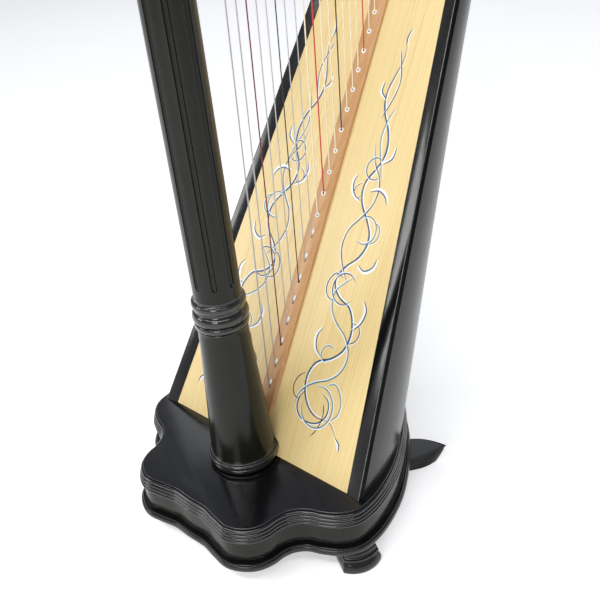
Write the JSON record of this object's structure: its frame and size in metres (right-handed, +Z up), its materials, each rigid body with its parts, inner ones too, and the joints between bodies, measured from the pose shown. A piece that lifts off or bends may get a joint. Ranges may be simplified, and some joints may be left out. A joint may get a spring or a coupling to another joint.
{
  "type": "concert harp",
  "caption": "Free-standing concert-size harp with a fluted column, curved neck, rounded soundbox, spruce soundboard, vertical strings and a sharping lever for each string.",
  "frame": {"origin": "on the floor at the bottom centre of the bounding box", "axes": "+Z up; -Y the front, where the column stands; +Y the player; +X the player's left, the side of the strings and levers"},
  "size_m": [0.4416, 0.853, 1.7163],
  "materials": {
    "black_lacquer": "satin black lacquer over maple",
    "spruce_board": "clear satin over spruce, grain along the board",
    "rib_hardwood": "clear satin over hardwood",
    "liner_wood": "bare wood",
    "string_wire": "wound wire",
    "string_gut": "varnished gut",
    "string_nylon": "clear monofilament",
    "lever_brass": "polished"
  },
  "bodies": {
    "harp_frame": {"base_top": "black_lacquer", "base_wall": "black_lacquer", "base_flange": "black_lacquer", "foot_front_left": "black_lacquer", "foot_front_right": "black_lacquer", "foot_rear_left": "black_lacquer", "foot_rear_right": "black_lacquer", "column": "black_lacquer", "column_capital": "black_lacquer", "neck": "black_lacquer", "soundbox_shell": "black_lacquer", "soundboard": "spruce_board", "edge_strip_left": "black_lacquer", "edge_strip_right": "black_lacquer", "string_rib": "rib_hardwood", "inner_rib": "liner_wood", "shoulder_block": "black_lacquer", "bass_wire_strings": "string_wire", "gut_strings": "string_gut", "nylon_strings": "string_nylon"},
    "lever_A1": {"lever_A1": "lever_brass"},
    "lever_B1": {"lever_B1": "lever_brass"},
    "lever_C2": {"lever_C2": "lever_brass"},
    "lever_D2": {"lever_D2": "lever_brass"},
    "lever_E2": {"lever_E2": "lever_brass"},
    "lever_F2": {"lever_F2": "lever_brass"},
    "lever_G2": {"lever_G2": "lever_brass"},
    "lever_A2": {"lever_A2": "lever_brass"},
    "lever_B2": {"lever_B2": "lever_brass"},
    "lever_C3": {"lever_C3": "lever_brass"},
    "lever_D3": {"lever_D3": "lever_brass"},
    "lever_E3": {"lever_E3": "lever_brass"},
    "lever_F3": {"lever_F3": "lever_brass"},
    "lever_G3": {"lever_G3": "lever_brass"},
    "lever_A3": {"lever_A3": "lever_brass"},
    "lever_B3": {"lever_B3": "lever_brass"},
    "lever_C4": {"lever_C4": "lever_brass"},
    "lever_D4": {"lever_D4": "lever_brass"},
    "lever_E4": {"lever_E4": "lever_brass"},
    "lever_F4": {"lever_F4": "lever_brass"},
    "lever_G4": {"lever_G4": "lever_brass"},
    "lever_A4": {"lever_A4": "lever_brass"},
    "lever_B4": {"lever_B4": "lever_brass"},
    "lever_C5": {"lever_C5": "lever_brass"},
    "lever_D5": {"lever_D5": "lever_brass"},
    "lever_E5": {"lever_E5": "lever_brass"},
    "lever_F5": {"lever_F5": "lever_brass"},
    "lever_G5": {"lever_G5": "lever_brass"},
    "lever_A5": {"lever_A5": "lever_brass"},
    "lever_B5": {"lever_B5": "lever_brass"},
    "lever_C6": {"lever_C6": "lever_brass"},
    "lever_D6": {"lever_D6": "lever_brass"},
    "lever_E6": {"lever_E6": "lever_brass"},
    "lever_F6": {"lever_F6": "lever_brass"},
    "lever_G6": {"lever_G6": "lever_brass"},
    "lever_A6": {"lever_A6": "lever_brass"},
    "lever_B6": {"lever_B6": "lever_brass"},
    "lever_C7": {"lever_C7": "lever_brass"},
    "lever_D7": {"lever_D7": "lever_brass"},
    "lever_E7": {"lever_E7": "lever_brass"}
  },
  "joints": [
    {"name": "lever_A1_turn", "type": "hinge", "parent": "harp_frame", "child": "lever_A1", "pos_m": [-0.0026, -0.22335, 1.49293], "axis": [1, 0, 0], "range_deg": [0, 90]},
    {"name": "lever_B1_turn", "type": "hinge", "parent": "harp_frame", "child": "lever_B1", "pos_m": [-0.0026, -0.20705, 1.51487], "axis": [1, 0, 0], "range_deg": [0, 90]},
    {"name": "lever_C2_turn", "type": "hinge", "parent": "harp_frame", "child": "lever_C2", "pos_m": [-0.0026, -0.19056, 1.53577], "axis": [1, 0, 0], "range_deg": [0, 90]},
    {"name": "lever_D2_turn", "type": "hinge", "parent": "harp_frame", "child": "lever_D2", "pos_m": [-0.0026, -0.17438, 1.54889], "axis": [1, 0, 0], "range_deg": [0, 90]},
    {"name": "lever_E2_turn", "type": "hinge", "parent": "harp_frame", "child": "lever_E2", "pos_m": [-0.0026, -0.15807, 1.55562], "axis": [1, 0, 0], "range_deg": [0, 90]},
    {"name": "lever_F2_turn", "type": "hinge", "parent": "harp_frame", "child": "lever_F2", "pos_m": [-0.0026, -0.14174, 1.55699], "axis": [1, 0, 0], "range_deg": [0, 90]},
    {"name": "lever_G2_turn", "type": "hinge", "parent": "harp_frame", "child": "lever_G2", "pos_m": [-0.0026, -0.12502, 1.55189], "axis": [1, 0, 0], "range_deg": [0, 90]},
    {"name": "lever_A2_turn", "type": "hinge", "parent": "harp_frame", "child": "lever_A2", "pos_m": [-0.0026, -0.10672, 1.54687], "axis": [1, 0, 0], "range_deg": [0, 90]},
    {"name": "lever_B2_turn", "type": "hinge", "parent": "harp_frame", "child": "lever_B2", "pos_m": [-0.0026, -0.0909, 1.53447], "axis": [1, 0, 0], "range_deg": [0, 90]},
    {"name": "lever_C3_turn", "type": "hinge", "parent": "harp_frame", "child": "lever_C3", "pos_m": [-0.0026, -0.07484, 1.5167], "axis": [1, 0, 0], "range_deg": [0, 90]},
    {"name": "lever_D3_turn", "type": "hinge", "parent": "harp_frame", "child": "lever_D3", "pos_m": [-0.0026, -0.05909, 1.49351], "axis": [1, 0, 0], "range_deg": [0, 90]},
    {"name": "lever_E3_turn", "type": "hinge", "parent": "harp_frame", "child": "lever_E3", "pos_m": [-0.0026, -0.04355, 1.46601], "axis": [1, 0, 0], "range_deg": [0, 90]},
    {"name": "lever_F3_turn", "type": "hinge", "parent": "harp_frame", "child": "lever_F3", "pos_m": [-0.0026, -0.02841, 1.43468], "axis": [1, 0, 0], "range_deg": [0, 90]},
    {"name": "lever_G3_turn", "type": "hinge", "parent": "harp_frame", "child": "lever_G3", "pos_m": [-0.0026, -0.01366, 1.4004], "axis": [1, 0, 0], "range_deg": [0, 90]},
    {"name": "lever_A3_turn", "type": "hinge", "parent": "harp_frame", "child": "lever_A3", "pos_m": [-0.0026, 0.00062, 1.36679], "axis": [1, 0, 0], "range_deg": [0, 90]},
    {"name": "lever_B3_turn", "type": "hinge", "parent": "harp_frame", "child": "lever_B3", "pos_m": [-0.0026, 0.01456, 1.33519], "axis": [1, 0, 0], "range_deg": [0, 90]},
    {"name": "lever_C4_turn", "type": "hinge", "parent": "harp_frame", "child": "lever_C4", "pos_m": [-0.0026, 0.02837, 1.30537], "axis": [1, 0, 0], "range_deg": [0, 90]},
    {"name": "lever_D4_turn", "type": "hinge", "parent": "harp_frame", "child": "lever_D4", "pos_m": [-0.0026, 0.0421, 1.27818], "axis": [1, 0, 0], "range_deg": [0, 90]},
    {"name": "lever_E4_turn", "type": "hinge", "parent": "harp_frame", "child": "lever_E4", "pos_m": [-0.0026, 0.05575, 1.25252], "axis": [1, 0, 0], "range_deg": [0, 90]},
    {"name": "lever_F4_turn", "type": "hinge", "parent": "harp_frame", "child": "lever_F4", "pos_m": [-0.0026, 0.06935, 1.2265], "axis": [1, 0, 0], "range_deg": [0, 90]},
    {"name": "lever_G4_turn", "type": "hinge", "parent": "harp_frame", "child": "lever_G4", "pos_m": [-0.0026, 0.08285, 1.20116], "axis": [1, 0, 0], "range_deg": [0, 90]},
    {"name": "lever_A4_turn", "type": "hinge", "parent": "harp_frame", "child": "lever_A4", "pos_m": [-0.0026, 0.09627, 1.17938], "axis": [1, 0, 0], "range_deg": [0, 90]},
    {"name": "lever_B4_turn", "type": "hinge", "parent": "harp_frame", "child": "lever_B4", "pos_m": [-0.0026, 0.10961, 1.16242], "axis": [1, 0, 0], "range_deg": [0, 90]},
    {"name": "lever_C5_turn", "type": "hinge", "parent": "harp_frame", "child": "lever_C5", "pos_m": [-0.0026, 0.12286, 1.14879], "axis": [1, 0, 0], "range_deg": [0, 90]},
    {"name": "lever_D5_turn", "type": "hinge", "parent": "harp_frame", "child": "lever_D5", "pos_m": [-0.0026, 0.13603, 1.13757], "axis": [1, 0, 0], "range_deg": [0, 90]},
    {"name": "lever_E5_turn", "type": "hinge", "parent": "harp_frame", "child": "lever_E5", "pos_m": [-0.0026, 0.14911, 1.12896], "axis": [1, 0, 0], "range_deg": [0, 90]},
    {"name": "lever_F5_turn", "type": "hinge", "parent": "harp_frame", "child": "lever_F5", "pos_m": [-0.0026, 0.16211, 1.12253], "axis": [1, 0, 0], "range_deg": [0, 90]},
    {"name": "lever_G5_turn", "type": "hinge", "parent": "harp_frame", "child": "lever_G5", "pos_m": [-0.0026, 0.17503, 1.11779], "axis": [1, 0, 0], "range_deg": [0, 90]},
    {"name": "lever_A5_turn", "type": "hinge", "parent": "harp_frame", "child": "lever_A5", "pos_m": [-0.0026, 0.18786, 1.11514], "axis": [1, 0, 0], "range_deg": [0, 90]},
    {"name": "lever_B5_turn", "type": "hinge", "parent": "harp_frame", "child": "lever_B5", "pos_m": [-0.0026, 0.20061, 1.11496], "axis": [1, 0, 0], "range_deg": [0, 90]},
    {"name": "lever_C6_turn", "type": "hinge", "parent": "harp_frame", "child": "lever_C6", "pos_m": [-0.0026, 0.21327, 1.11655], "axis": [1, 0, 0], "range_deg": [0, 90]},
    {"name": "lever_D6_turn", "type": "hinge", "parent": "harp_frame", "child": "lever_D6", "pos_m": [-0.0026, 0.22585, 1.119], "axis": [1, 0, 0], "range_deg": [0, 90]},
    {"name": "lever_E6_turn", "type": "hinge", "parent": "harp_frame", "child": "lever_E6", "pos_m": [-0.0026, 0.23834, 1.12305], "axis": [1, 0, 0], "range_deg": [0, 90]},
    {"name": "lever_F6_turn", "type": "hinge", "parent": "harp_frame", "child": "lever_F6", "pos_m": [-0.0026, 0.25075, 1.129], "axis": [1, 0, 0], "range_deg": [0, 90]},
    {"name": "lever_G6_turn", "type": "hinge", "parent": "harp_frame", "child": "lever_G6", "pos_m": [-0.0026, 0.26308, 1.13608], "axis": [1, 0, 0], "range_deg": [0, 90]},
    {"name": "lever_A6_turn", "type": "hinge", "parent": "harp_frame", "child": "lever_A6", "pos_m": [-0.0026, 0.27532, 1.14401], "axis": [1, 0, 0], "range_deg": [0, 90]},
    {"name": "lever_B6_turn", "type": "hinge", "parent": "harp_frame", "child": "lever_B6", "pos_m": [-0.0026, 0.28748, 1.15271], "axis": [1, 0, 0], "range_deg": [0, 90]},
    {"name": "lever_C7_turn", "type": "hinge", "parent": "harp_frame", "child": "lever_C7", "pos_m": [-0.0026, 0.29955, 1.1623], "axis": [1, 0, 0], "range_deg": [0, 90]},
    {"name": "lever_D7_turn", "type": "hinge", "parent": "harp_frame", "child": "lever_D7", "pos_m": [-0.0026, 0.31154, 1.17284], "axis": [1, 0, 0], "range_deg": [0, 90]},
    {"name": "lever_E7_turn", "type": "hinge", "parent": "harp_frame", "child": "lever_E7", "pos_m": [-0.0026, 0.32346, 1.18318], "axis": [1, 0, 0], "range_deg": [0, 90]}
  ]
}
